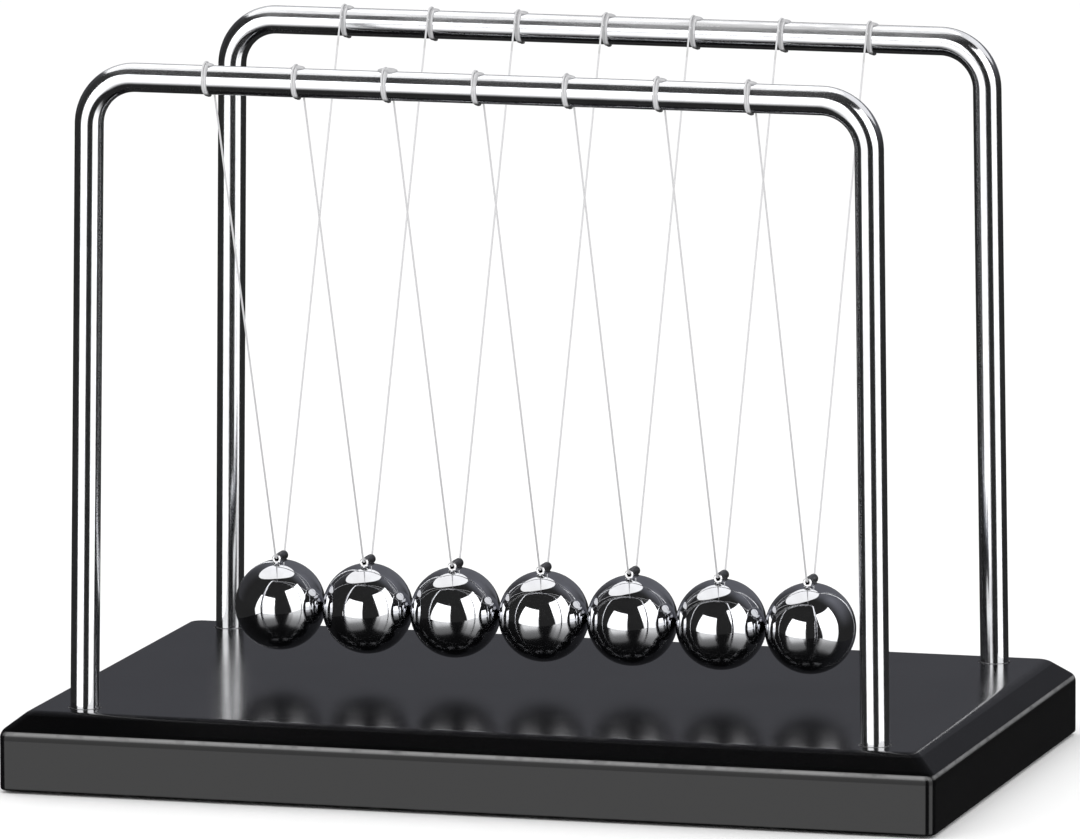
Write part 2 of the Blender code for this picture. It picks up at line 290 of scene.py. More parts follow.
def polished(name, light, dark, rough_low, rough_high, wave, along_rod=False):
    """Mirror metal: a faint waviness, fine polishing lines, handling marks in the roughness."""
    material, tree, shader = new_material(name, light, rough_low, 1.0)
    coords = add_node(tree, "ShaderNodeTexCoord")
    place = coords.outputs["Object"]
    marks = noise(tree, place, 260, 4)
    cloud = noise(tree, place, 70, 2)
    lines_at = coords.outputs["UV"] if along_rod else place
    lines_scale = (90, 900, 1) if along_rod else (300, 2600, 2600)
    lines = noise(tree, stretched(tree, lines_at, lines_scale), 1.0, 2)
    colour = tint(tree, remap(tree, marks, 0.35, 0.7, 0, 1), light, dark)
    grime_and_shade = maths(tree, "MULTIPLY", remap(tree, cloud, 0.3, 0.75, 0, 1), remap(tree, lines, 0.3, 0.8, 0.4, 1))
    rough = remap(tree, grime_and_shade, 0, 1, rough_low, rough_high)
    if along_rod:
        # Painted highlight: a grey, less metallic, rougher band along the tops of the rails.
        film_and_sheen = rail_top_sheen(tree, place)
        colour = tint(tree, film_and_sheen, colour, (0.46, 0.46, 0.465))
        rough = maths(tree, "ADD", rough, maths(tree, "MULTIPLY", film_and_sheen, 0.14))
        tree.links.new(remap(tree, film_and_sheen, 0, 1, 1, 0.5), shader.inputs["Metallic"])
    tree.links.new(colour, shader.inputs["Base Color"])
    tree.links.new(rough, shader.inputs["Roughness"])
    soft = bump(tree, noise(tree, place, 420, 1), wave, 0.02 * MM)
    tree.links.new(bump(tree, lines, 0.025, 0.003 * MM, soft), shader.inputs["Normal"])
    return material


def lacquer(name, shine, low, high, depth, painted_edge_highlight=0.0):
    """Black lacquer over wood: orange peel, a faint grain along the board, lighter edges that are partly
    chips from use and partly a painted edge highlight, and, when asked, a grey band painted on the edge as a
    painted highlight.
    """
    material, tree, shader = new_material(name, (0.004, 0.004, 0.0045), low)
    shader.inputs["Specular IOR Level"].default_value = shine
    place = add_node(tree, "ShaderNodeTexCoord").outputs["Object"]
    cloud = noise(tree, place, 38, 3)
    grain = noise(tree, stretched(tree, place, (14, 420, 260)), 1.0, 4, 0.6)
    peel = noise(tree, place, 800, 1)
    edge_wear_and_sheen = add_node(tree, "ShaderNodeAttribute", attribute_name="edge_wear_and_sheen").outputs["Fac"]
    # Lighter chips along the edges: partly chips from use, partly a painted edge highlight.
    chips_and_edge_sheen = maths(tree, "MULTIPLY", edge_wear_and_sheen, remap(tree, noise(tree, place, 300, 4), 0.48, 0.7, 0, 1))
    deep = tint(tree, cloud, (depth, depth, depth * 1.2), (depth * 2, depth * 2, depth * 2.3))
    # Painted highlight: a grey band painted into the edge colour, standing in for the shine along the rounded
    # edge.
    if painted_edge_highlight:
        patchy = remap(tree, noise(tree, place, 60, 4), 0.3, 0.7, 0.8, 1)
        edge_highlight_mask = maths(tree, "MULTIPLY", remap(tree, edge_wear_and_sheen, 0.05, 0.6, 0, 1), patchy)
        deep = tint(tree, edge_highlight_mask, deep, (painted_edge_highlight, painted_edge_highlight, painted_edge_highlight))
    tree.links.new(tint(tree, chips_and_edge_sheen, deep, (0.025, 0.025, 0.025)), shader.inputs["Base Color"])
    rough = remap(tree, cloud, 0.3, 0.75, low, high)
    rough = maths(tree, "ADD", rough, maths(tree, "MULTIPLY", chips_and_edge_sheen, 0.06))
    tree.links.new(rough, shader.inputs["Roughness"])
    first = bump(tree, grain, 0.05, 0.01 * MM)
    tree.links.new(bump(tree, peel, 0.06, 0.006 * MM, first), shader.inputs["Normal"])
    return material


def lacquer_rim_glint():
    """The holes' rims, painted grey as a painted highlight: the glints at each hole's edge beside the rods.
    """
    material, tree, shader = new_material("lacquer_rim_painted_glint", (0.16, 0.16, 0.17), 0.35)
    place = add_node(tree, "ShaderNodeTexCoord").outputs["Object"]
    cloud = noise(tree, place, 900, 4)
    rim_glint_colour = tint(tree, remap(tree, cloud, 0.4, 0.6, 0, 1), (0.16, 0.16, 0.16), (0.01, 0.01, 0.01))
    tree.links.new(rim_glint_colour, shader.inputs["Base Color"])
    tree.links.new(remap(tree, cloud, 0.3, 0.7, 0.25, 0.5), shader.inputs["Roughness"])
    tree.links.new(bump(tree, cloud, 0.2, 0.02 * MM), shader.inputs["Normal"])
    return material


def nylon(name, light, dark, roughness, grime_and_shade=0.05):
    """Milky line or glue, darker in a band just under the rails: painted shade under the rails."""
    material, tree, shader = new_material(name, light, roughness)
    place = add_node(tree, "ShaderNodeTexCoord").outputs["Object"]
    cloud = noise(tree, place, 900, 3)
    height = add_node(tree, "ShaderNodeSeparateXYZ", {0: place}).outputs[2]
    # Painted shade: the colour darkens in a band just below the rails, where the rails shade the line and
    # glue.
    under = remap(tree, height, RAIL_Z - 2.95 * MM, RAIL_Z - 2.4 * MM, 1, 0)
    near = remap(tree, height, RAIL_Z - 4.4 * MM, RAIL_Z - 4.2 * MM, 0, 1)
    unshaded_colour = tint(tree, cloud, light, dark)
    colour = tint(tree, maths(tree, "MULTIPLY", under, near), unshaded_colour, (grime_and_shade, grime_and_shade, grime_and_shade))
    tree.links.new(colour, shader.inputs["Base Color"])
    rough = remap(tree, cloud, 0.3, 0.7, roughness - 0.06, roughness + 0.1)
    tree.links.new(rough, shader.inputs["Roughness"])
    tree.links.new(bump(tree, noise(tree, place, 2400, 2), 0.08, 0.01 * MM), shader.inputs["Normal"])
    shader.inputs["IOR"].default_value = 1.53
    return material


def rough_metal(name, light, dark, low, high, scale):
    material, tree, shader = new_material(name, light, low, 1.0)
    place = add_node(tree, "ShaderNodeTexCoord").outputs["Object"]
    cloud = noise(tree, place, scale, 4)
    tree.links.new(tint(tree, remap(tree, cloud, 0.35, 0.7, 0, 1), light, dark), shader.inputs["Base Color"])
    tree.links.new(remap(tree, cloud, 0.3, 0.7, low, high), shader.inputs["Roughness"])
    tree.links.new(bump(tree, noise(tree, place, scale * 4, 3), 0.25, 0.02 * MM), shader.inputs["Normal"])
    return material


def rubber():
    material, tree, shader = new_material("foot_rubber_black", (0.02, 0.02, 0.02), 0.8)
    place = add_node(tree, "ShaderNodeTexCoord").outputs["Object"]
    cloud = noise(tree, place, 500, 4)
    dusty = tint(tree, cloud, (0.012, 0.012, 0.012), (0.04, 0.038, 0.036))
    tree.links.new(dusty, shader.inputs["Base Color"])
    tree.links.new(remap(tree, cloud, 0.3, 0.7, 0.65, 0.95), shader.inputs["Roughness"])
    tree.links.new(bump(tree, noise(tree, place, 3000, 2), 0.3, 0.03 * MM), shader.inputs["Normal"])
    return material


CHROME = polished("chrome_rod", (0.86, 0.87, 0.89), (0.76, 0.76, 0.78), 0.11, 0.17, 0.04, True)
STEEL = polished("ball_mirror", (0.78, 0.79, 0.81), (0.69, 0.69, 0.71), 0.035, 0.07, 0.05)
LACQUER = lacquer("lacquer_black", 0.5, 0.16, 0.21, 0.0016)
LACQUER_RIM = lacquer_rim_glint()
# The chamfer: a darker, less shiny copy of the lacquer, painted shade.
LACQUER_SLOPE = lacquer("lacquer_black_slope_painted_shade", 0.2, 0.2, 0.3, 0.0007)
# The shoulder rows' lacquer, with a grey band painted on as a painted highlight.
LACQUER_EDGE = lacquer("lacquer_black_edge_painted_highlight", 0.32, 0.2, 0.28, 0.0012, 0.2)
# The nylon materials' last argument is the grey painted as shade under the rails; left out, it is near-black.
THREAD = nylon("nylon_thread", (0.68, 0.68, 0.69), (0.61, 0.61, 0.62), 0.5, 0.55)
THREAD.node_tree.nodes["Principled BSDF"].inputs["Specular IOR Level"].default_value = 0.15
NYLON = nylon("nylon_line", (0.66, 0.66, 0.67), (0.56, 0.56, 0.57), 0.34)
GLUE = nylon("knot_glue", (0.56, 0.56, 0.57), (0.36, 0.36, 0.37), 0.32)
TUBE = rough_metal("eyelet_steel_drawn", (0.34, 0.34, 0.35), (0.12, 0.12, 0.125), 0.22, 0.5, 900)
TUBE_END = rough_metal("eyelet_steel_cut", (0.90, 0.90, 0.91), (0.62, 0.62, 0.63), 0.26, 0.4, 700)
# Inside the bore the steel is painted near-black: painted shade in the hole.
TUBE_BORE = rough_metal("eyelet_bore_painted_shade", (0.05, 0.05, 0.05), (0.02, 0.02, 0.02), 0.5, 0.8, 700)
ZINC = rough_metal("zinc_plated", (0.62, 0.62, 0.60), (0.45, 0.46, 0.45), 0.25, 0.45, 420)
RUBBER = rubber()


def finish_piece(obj, material, body, node):
    if not obj.data.materials:
        obj.data.materials.append(material)
    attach(obj, body)
    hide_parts(node)
    return obj


# The board


def rounded_ring(half_x, half_y, radius, height, steps=10):
    ring = []
    for sign_x, sign_y, start in ((1, 1, 0), (-1, 1, 90), (-1, -1, 180), (1, -1, 270)):
        for step in range(steps + 1):
            angle = math.radians(start + 90 * step / steps)
            x = sign_x * (half_x - radius) + radius * math.cos(angle)
            y = sign_y * (half_y - radius) + radius * math.sin(angle)
            ring.append((x, y, height))
    return ring


def arc(a, corner, b, steps=6):
    points = []
    for step in range(steps + 1):
        t = step / steps
        x = a[0] * (1 - t) ** 2 + 2 * corner[0] * t * (1 - t) + b[0] * t * t
        z = a[1] * (1 - t) ** 2 + 2 * corner[1] * t * (1 - t) + b[1] * t * t
        points.append((x, z))
    return points


def make_board():
    half_x = (BOARD_HIGH.x - BOARD_LOW.x) / 2
    half_y = (BOARD_HIGH.y - BOARD_LOW.y) / 2
    low, high = BOARD_LOW.z, BOARD_HIGH.z
    width, drop, edge, soft, top_soft = 5 * MM, 4 * MM, 0.7 * MM, 1.2 * MM, 1.0 * MM
    slope = Vector((width, drop)).normalized()
    shoulder = high - drop
    start, end = slope * soft, slope * top_soft
    profile = [(edge + 0.6 * MM, low)]
    profile += arc((edge, low), (0, low), (0, low + edge))
    profile += [(0, low + edge + 0.5 * MM), (0, shoulder - soft - 0.5 * MM)]
    profile += arc((0, shoulder - soft), (0, shoulder), (start.x, shoulder + start.y))
    profile += [(start.x * 1.3, shoulder + start.y * 1.3), (width - end.x * 1.3, high - end.y * 1.3)]
    edge_rows = range(len(profile) - 10, len(profile) - 5)
    slope_rows = range(len(profile) - 5, len(profile) - 1)
    profile += arc((width - end.x, high - end.y), (width, high), (width + top_soft, high))
    profile += [(width + top_soft + 0.6 * MM, high)]
    verts = []
    for inset, z in profile:
        verts += rounded_ring(half_x - inset, half_y - inset, 2 * MM, z)
    size = len(verts) // len(profile)
    faces = [tuple(reversed(range(size)))]
    for i in range(len(profile) - 1):
        for k in range(size):
            a, b = i * size + k, i * size + (k + 1) % size
            faces.append((a, b, b + size, a + size))
    faces.append(tuple(range((len(profile) - 1) * size, len(profile) * size)))
    board = mesh_object("board_lacquered", verts, faces)
    board.data.materials.append(LACQUER)
    board.data.materials.append(LACQUER_SLOPE)
    board.data.materials.append(LACQUER_EDGE)
    # Chamfer rows take the darker painted-shade lacquer; shoulder rows take the lacquer with the painted edge
    # highlight.
    for index, rows in ((1, slope_rows), (2, edge_rows)):
        for row in rows:
            for k in range(size):
                board.data.polygons[1 + row * size + k].material_index = index
    tools = []
    for corner in CORNERS:
        leg = LEGS[corner]
        bore_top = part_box("hoop_washer_" + corner)[1].z + FACE_GAP
        points = [(0, high + MM), (LEG_RIM_R + MM, high + MM), (LEG_RIM_R, high)]
        points += [(LEG_HOLE_R, high - RIM_DEPTH), (LEG_HOLE_R, bore_top)]
        points += [(COUNTERBORE_R, bore_top), (COUNTERBORE_R, low - MM), (0, low - MM)]
        tools.append(solid_cutter("leg_cut_" + corner, points, (leg.x, leg.y, 0)))
        foot = centre("foot_" + corner)
        pocket_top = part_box("foot_" + corner)[1].z + FACE_GAP
        points = [(0, pocket_top), (POCKET_R, pocket_top), (POCKET_R, low - MM), (0, low - MM)]
        tools.append(solid_cutter("foot_cut_" + corner, points, (foot.x, foot.y, 0)))
    for tool in tools:
        modifier = board.modifiers.new("Cut", "BOOLEAN")
        modifier.operation = "DIFFERENCE"
        modifier.solver = "EXACT"
        modifier.object = tool
    bpy.context.view_layer.update()
    graph = bpy.context.evaluated_depsgraph_get()
    mesh = bpy.data.meshes.new_from_object(board.evaluated_get(graph))
    board.modifiers.clear()
    board.data = mesh
    for tool in tools:
        bpy.data.objects.remove(tool)
    # The hole rims get the grey lacquer that is a painted highlight, standing in for glints at the rims.
    mesh.materials.append(LACQUER_RIM)
    hair = 0.01 * MM
    for polygon in mesh.polygons:
        x, y, z = polygon.center
        near_leg = min(math.hypot(x - leg.x, y - leg.y) for leg in LEGS.values())
        if LEG_HOLE_R < near_leg < LEG_RIM_R and high - RIM_DEPTH + hair < z < high - hair:
            polygon.material_index = len(mesh.materials) - 1
    mesh.shade_smooth()
    mesh.set_sharp_from_angle(angle=math.radians(38))
    # Edge mask: it drives the chips from use and the painted edge highlight of the lacquer.
    edge_wear_and_sheen = mesh.attributes.new("edge_wear_and_sheen", "FLOAT", "POINT")
    for vert in mesh.vertices:
        inset = min(half_x - abs(vert.co.x), half_y - abs(vert.co.y))
        near = min(math.hypot(inset - a, vert.co.z - z) for a, z in ((0, shoulder), (width, high), (0, low)))
        edge_wear_and_sheen.data[vert.index].value = max(0.0, 1 - near / (0.75 * MM))
    weighted = board.modifiers.new("Flat faces", "WEIGHTED_NORMAL")
    weighted.keep_sharp = True
    weighted.weight = 80
    finish_piece(board, LACQUER, "frame", "base_board")


def solid_cutter(name, points, location, steps=64):
    """A turned cutter whose first and last points lie on the axis."""
    verts, faces = [Vector((0, 0, points[0][1])), Vector((0, 0, points[-1][1]))], []
    inner = points[1:-1]
    for s in range(steps):
        angle = 2 * math.pi * s / steps
        verts += [Vector((r * math.cos(angle), r * math.sin(angle), z)) for r, z in inner]
    count = len(inner)
    for s in range(steps):
        a, b = 2 + s * count, 2 + ((s + 1) % steps) * count
        faces.append((0, a, b))
        faces.append((1, b + count - 1, a + count - 1))
        for k in range(count - 1):
            faces.append((a + k, a + k + 1, b + k + 1, b + k))
    obj = mesh_object(name, verts, faces)
    obj.location = location
    return obj


# The hoops


def hoop_line(rail):
    """The rod's axis, with a true fillet between each leg and the rail."""
    y = RAIL_Y[rail]
    right, left = LEGS[rail + "_right"], LEGS[rail + "_left"]
    line = []
    for leg, sign in ((left, -1), (right, 1)):
        foot = Vector((leg.x, leg.y, BOARD_HIGH.z))
        knee = Vector((sign * TOP_X, y, RAIL_Z))
        down = (foot - knee).normalized()
        across = Vector((-sign, 0, 0))
        half = math.acos(max(-1, min(1, down.dot(across)))) / 2
        reach = BEND_R / math.tan(half)
        middle = knee + (down + across).normalized() * (BEND_R / math.sin(half))
        a, b = knee + down * reach, knee + across * reach
        ray_a, ray_b = (a - middle).normalized(), (b - middle).normalized()
        turn = math.acos(max(-1, min(1, ray_a.dot(ray_b))))
        bend = []
        for step in range(41):
            t = step / 40
            mix = ray_a * math.sin((1 - t) * turn) + ray_b * math.sin(t * turn)
            bend.append(middle + mix / math.sin(turn) * BEND_R)
        end = Vector((leg.x, leg.y, ROD_END))
        part = [end + (foot - end) * (k / 6) for k in range(6)]
        part += [foot + (a - foot) * (k / 24) for k in range(24)] + bend
        line.append(part)
    first, last = line[0][-1], line[1][-1]
    rail_part = [first + (last - first) * (k / 30) for k in range(1, 30)]
    return line[0] + rail_part + list(reversed(line[1]))


def make_hoops():
    for rail in RAILS:
        line = hoop_line(rail)
        chamfer = 0.45 * MM
        rise = Vector((0, 0, chamfer))
        points = [line[0], line[0] + rise, *line[1:-1], line[-1] + rise, line[-1]]
        radii = [ROD_R - chamfer] + [ROD_R] * (len(points) - 2) + [ROD_R - chamfer]
        verts, faces, uvs = swept(points, radii, 64)
        hoop = mesh_object(rail + "_hoop_chromed", verts, faces, uvs, sharp=30)
        finish_piece(hoop, CHROME, "frame", rail + "_hoop")


def make_fasteners():
    for corner in CORNERS:
        low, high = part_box("hoop_washer_" + corner)
        spot = (low + high) / 2
        outer, inner, half = (high.x - low.x) / 2, ROD_R + 0.1 * MM, (high.z - low.z) / 2
        edge = 0.18 * MM
        profile = [(outer - edge, half), (outer, half - edge), (outer, edge - half), (outer - edge, -half)]
        profile += [(inner + edge, -half), (inner, edge - half), (inner, half - edge), (inner + edge, half)]
        washer = mesh_object("washer_" + corner, *turned(profile, 64), sharp=35)
        washer.location = spot
        finish_piece(washer, ZINC, "frame", "hoop_washer_" + corner)
        low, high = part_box("hoop_nut_" + corner)
        nut = nut_object("nut_" + corner, (high.x - low.x) / 2, inner, (high.z - low.z) / 2)
        nut.location = (low + high) / 2
        finish_piece(nut, ZINC, "frame", "hoop_nut_" + corner)


def nut_object(name, flat, inner, half, steps=96):
    """A hexagon nut with chamfered corners and a plain bore, widened at both mouths."""
    verts, faces, uvs = [], [], []
    shoulder, corner_cut, mouth = half * 0.82, 0.55 * MM, inner + 0.25 * MM
    rows = [(half, corner_cut, mouth), (shoulder, 0.0, inner)]
    rows += [(-shoulder, 0.0, inner), (-half, corner_cut, mouth)]
    for s in range(steps):
        angle = 2 * math.pi * s / steps
        turn = (angle + math.pi / 6) % (math.pi / 3) - math.pi / 6
        hexagon = flat / math.cos(turn)
        for z, cut, _ in rows:
            limit = flat / math.cos(math.pi / 6) - cut * 1.3
            r = min(hexagon, limit) if cut else hexagon
            verts.append(Vector((r * math.cos(angle), r * math.sin(angle), z)))
            uvs.append((s / steps, z * 100))
        for z, _, hole in reversed(rows):
            verts.append(Vector((hole * math.cos(angle), hole * math.sin(angle), z)))
            uvs.append((s / steps, z * 100))
    count = len(rows) * 2
    for s in range(steps):
        t = (s + 1) % steps
        for k in range(count):
            m = (k + 1) % count
            faces.append((s * count + k, s * count + m, t * count + m, t * count + k))
    return mesh_object(name, verts, faces, uvs, sharp=25)


def make_feet():
    for corner in CORNERS:
        low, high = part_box("foot_" + corner)
        r, top = (high.x - low.x) / 2, (high.z - low.z) / 2
        edge, hollow, axis = 0.3 * MM, 0.25 * MM, 0.01 * MM
        profile = [(axis, top), (r - edge, top), (r, top - edge), (r, edge - top), (r - edge, -top)]
        profile += [(r * 0.62, -top), (r * 0.55, hollow - top), (axis, hollow - top)]
        foot = mesh_object("foot_pad_" + corner, *turned(profile, 64), sharp=35)
        foot.location = (low + high) / 2
        finish_piece(foot, RUBBER, "frame", "foot_" + corner)


# The pendulums


def ball_shape():
    """A ball whose surface rises in a weld fillet along both sides of the eyelet."""
    lift = EYELET_Z - BALL_Z
    core, blend = EYELET_R * 0.92, 0.45 * MM
    cap = lift - EYELET_BORE - 0.1 * MM
    angles = list(np.linspace(0, 24, 38)) + list(np.linspace(26, 180, 66))
    sides = 144
    verts, faces = [], []

    def radius(d):
        r = BALL_R
        for _ in range(12):
            p = d * r
            across = math.hypot(p.x, p.z - lift)
            tube = max(across - core, abs(p.y) - EYELET_HALF * 0.86)
            ball = r - BALL_R
            h = max(blend - abs(ball - tube), 0.0) / blend
            r -= min(ball, tube) - h * h * blend / 4
        return max(BALL_R, min(r, cap / max(d.z, 0.2)))

    for index, degrees in enumerate(angles):
        a = math.radians(degrees)
        if index in (0, len(angles) - 1):
            d = Vector((0, 0, math.cos(a)))
            verts.append(d * (radius(d) if index == 0 else BALL_R))
            continue
        for k in range(sides):
            b = 2 * math.pi * k / sides
            d = Vector((math.sin(a) * math.cos(b), math.sin(a) * math.sin(b), math.cos(a)))
            verts.append(d * (radius(d) if degrees < 25 else BALL_R))
    rows = len(angles) - 2
    for k in range(sides):
        n = (k + 1) % sides
        faces.append((0, 1 + k, 1 + n))
        last = 1 + (rows - 1) * sides
        faces.append((len(verts) - 1, last + n, last + k))
        for i in range(rows - 1):
            a, b = 1 + i * sides + k, 1 + i * sides + n
            faces.append((a, a + sides, b + sides, b))
    return verts, faces


def eyelet_shape():
    """A short tube with a lip at one end and a waist behind it, turned to lie along Y."""
    edge = 0.12 * MM
    lip, waist = EYELET_R * 0.93, EYELET_R * 0.86
    profile = [(lip - edge, EYELET_HALF), (lip, EYELET_HALF - edge), (lip, EYELET_HALF - 0.7 * MM)]
    profile += [(waist, EYELET_HALF - 1.1 * MM), (waist, 0.6 * MM), (EYELET_R, -0.2 * MM)]
    profile += [(EYELET_R, edge - EYELET_HALF), (EYELET_R - edge, -EYELET_HALF)]
    profile += [(EYELET_BORE + edge, -EYELET_HALF), (EYELET_BORE, edge - EYELET_HALF)]
    profile += [(EYELET_BORE, EYELET_HALF - edge), (EYELET_BORE + edge, EYELET_HALF)]
    verts, faces, uvs = turned(profile, 48)
    turn = Matrix.Rotation(math.pi / 2, 3, "X")
    return [turn @ v for v in verts], faces, uvs


def thread_line(x):
    """The V from tie to tie, through the eyelet."""
    mouth = EYELET_HALF + STRAND + 0.1 * MM
    bend = 0.5 * MM
    seat = EYELET_Z + 0.2 * MM  # the thread lies along the top of the bore
    run_end = Vector((x, mouth + bend * math.sin(LEAN), seat + bend))
    corner = Vector((x, mouth, seat))
    run_in = Vector((x, mouth - bend, seat))
    tie = Vector((x, PIVOT_Y, PIVOT_Z))
    half = [tie + (run_end - tie) * (k / 20) for k in range(20)]
    for step in range(9):
        t = step / 8
        half.append(run_end * (1 - t) ** 2 + corner * 2 * t * (1 - t) + run_in * t * t)
    mirrored = [Vector((p.x, -p.y, p.z)) for p in half]
    return mirrored + list(reversed(half))


def make_pendulums():
    ball_verts, ball_faces = ball_shape()
    ball_mesh = eyelet_mesh = None
    for number in range(1, BALLS + 1):
        body = f"pendulum_{number}"
        x = centre(f"ball_{number}").x
        if ball_mesh is None:
            ball = mesh_object("ball_polished_1", ball_verts, ball_faces)
            eyelet = mesh_object("eyelet_tube_1", *eyelet_shape(), sharp=35)
            ball_mesh, eyelet_mesh = ball.data, eyelet.data
            eyelet_mesh.materials.append(TUBE)
            eyelet_mesh.materials.append(TUBE_END)
            eyelet_mesh.materials.append(TUBE_BORE)
            for polygon in eyelet_mesh.polygons:
                if abs(polygon.center.y) > EYELET_HALF - 0.13 * MM:
                    polygon.material_index = 1
                elif math.hypot(polygon.center.x, polygon.center.z) < EYELET_BORE * 1.1:
                    polygon.material_index = 2
        else:
            ball = bpy.data.objects.new(f"ball_polished_{number}", ball_mesh)
            eyelet = bpy.data.objects.new(f"eyelet_tube_{number}", eyelet_mesh)
            bpy.context.scene.collection.objects.link(ball)
            bpy.context.scene.collection.objects.link(eyelet)
        ball.location = (x, 0, BALL_Z)
        eyelet.location = (x, 0, EYELET_Z)
        finish_piece(ball, STEEL, body, f"ball_{number}")
        finish_piece(eyelet, TUBE, body, f"eyelet_{number}")
        thread = mesh_object(f"thread_line_{number}", *swept(thread_line(x), STRAND, 16))
        finish_piece(thread, THREAD, body, f"thread_{number}")


# The wraps and knots


def ring_film(place, inner, amount, half, steps=48):
    """A shallow layer of glue round the rail, tapering out to both sides."""
    verts, faces, uvs = [], [], []
    shape = [(-half, 0.0), (-half * 0.6, 0.75), (0.0, 1.0), (half * 0.6, 0.75), (half, 0.0)]
    shape += [(half * 0.5, -0.4), (-half * 0.5, -0.4)]
    count = len(shape)
    for s in range(steps):
        angle = 2 * math.pi * s / steps
        for x, lift in shape:
            r = inner + lift * amount
            verts.append(Vector(place) + Vector((x, r * math.sin(angle), r * math.cos(angle))))
            uvs.append((s / steps, x * 100))
    for s in range(steps):
        t = (s + 1) % steps
        for k in range(count):
            m = (k + 1) % count
            faces.append((s * count + k, s * count + m, t * count + m, t * count + k))
    return verts, faces, uvs


def wrap_shape(rail, number):
    """The thread's own end: over the rail from the tie, round it twice on the front rail and once on the
    rear, into a glued knot on top.
    """
    rng = random.Random(100 * (rail == "rear") + number)
    side = RAILS[rail]
    x0 = centre(f"{rail}_loop_{number}").x
    y0, inner = RAIL_Y[rail], -side
    big = 1.35 if (rail, number) == ("front", 3) else rng.uniform(0.75, 1.0)
    start = math.pi / 2 - LEAN
    turns = (2 if rail == "front" else 1) + start / (2 * math.pi)
    spread = (0.38 if rail == "front" else 0.9) * MM
    lean = rng.uniform(-0.38, -0.22) * MM
    steps = int(turns * 48)
    points = []
    for step in range(steps + 1):
        angle = 2 * math.pi * turns * step / steps - start
        settle = min(1.0, angle / 3.4 + start / 3.4)
        radius = TIE_R - (TIE_R - ROD_R - STRAND) * settle
        drift = (step / steps) * turns * spread - spread * 0.25
        drift *= min(1.0, step / 30)
        y = y0 - inner * radius * math.sin(angle)
        z = RAIL_Z + radius * math.cos(angle)
        points.append(Vector((x0 + drift + lean * max(0.0, math.cos(angle)), y, z)))
    parts = [swept(points, STRAND, 12)]
    knot_at = Vector((x0 + 0.25 * MM, y0, RAIL_Z + ROD_R + 0.3 * MM * big))
    knot = []
    for step in range(61):
        t = 2 * math.pi * step / 60
        ring = (0.26 * MM + 0.12 * MM * math.cos(3 * t)) * big
        lift = 0.13 * MM * math.sin(3 * t) * big
        knot.append(knot_at + Vector((ring * 1.3 * math.cos(2 * t), ring * math.sin(2 * t), lift)))
    parts.append(swept(knot, STRAND * 0.85, 10, cap=False))
    reach = rng.uniform(0.5, 0.9) * MM
    tip = knot_at + Vector((reach * 1.3, -0.2 * MM, -0.12 * MM))
    parts.append(swept([knot_at, (knot_at + tip) / 2 + Vector((0, 0, 0.05 * MM)), tip], STRAND * 0.8, 10))
    tie = Vector((x0, y0 + inner * TIE_R * math.cos(LEAN), PIVOT_Z))
    bead = 0.28 * MM
    parts.append(blob(tie, (bead, bead, bead), number))
    under = (x0 + rng.uniform(0.5, 0.75) * MM, y0 - 0.3 * MM, RAIL_Z - ROD_R - 0.12 * MM)
    parts.append(blob(under, (0.55 * MM, 0.5 * MM, 0.36 * MM), number + 20))
    film_at = (x0 + 0.2 * MM, y0, RAIL_Z)
    film_and_sheen = ring_film(film_at, inner=ROD_R - 0.05 * MM, amount=0.4 * MM, half=0.62 * MM)
    cap_at = (x0 + 0.35 * MM, y0, RAIL_Z + ROD_R + 0.02 * MM)
    cap_size = (1.55 * MM * big, 1.2 * MM, 0.55 * MM * big)
    cap = blob(cap_at, cap_size, number + 40, rings=12, sides=20, rough=0.18)
    return parts, [film_and_sheen, cap]


def make_wraps():
    for rail in RAILS:
        for number in range(1, BALLS + 1):
            parts, glue = wrap_shape(rail, number)
            verts, faces, uvs = joined(parts + glue)
            wrap = mesh_object(f"{rail}_wrap_{number}", verts, faces, uvs)
            wrap.data.materials.append(NYLON)
            wrap.data.materials.append(GLUE)
            glue_from = len(faces) - sum(len(piece[1]) for piece in glue)
            for polygon in wrap.data.polygons:
                polygon.material_index = int(polygon.index >= glue_from)
            finish_piece(wrap, NYLON, "frame", f"{rail}_loop_{number}")


# The stage: floor, light, camera


def direction(azimuth, elevation):
    """Toward a place, in degrees to the right of the front and above level."""
    a, e = math.radians(azimuth), math.radians(elevation)
    return Vector((math.sin(a) * math.cos(e), -math.cos(a) * math.cos(e), math.sin(e)))


def make_floor():
    size = 6.0
    verts = [(-size, -size, 0), (size, -size, 0), (size, size, 0), (-size, size, 0)]
    floor = mesh_object("stage_floor", verts, [(0, 1, 2, 3)])
    material, tree, shader = new_material("floor_pale", (0.93, 0.93, 0.93), 0.9)
    shader.inputs["Specular IOR Level"].default_value = 0.0
    floor.data.materials.append(material)
    floor.visible_glossy = False


def smooth(tree, value, low, high):
    inputs = {"Value": value, "From Min": low, "From Max": high}
    node = add_node(tree, "ShaderNodeMapRange", inputs, interpolation_type="SMOOTHSTEP", clamp=True)
    return node.outputs["Result"]


def window(tree, value, low, high, soft):
    rise = smooth(tree, value, low - soft, low + soft)
    fall = maths(tree, "SUBTRACT", 1.0, smooth(tree, value, high - soft, high + soft))
    return maths(tree, "MULTIPLY", rise, fall)


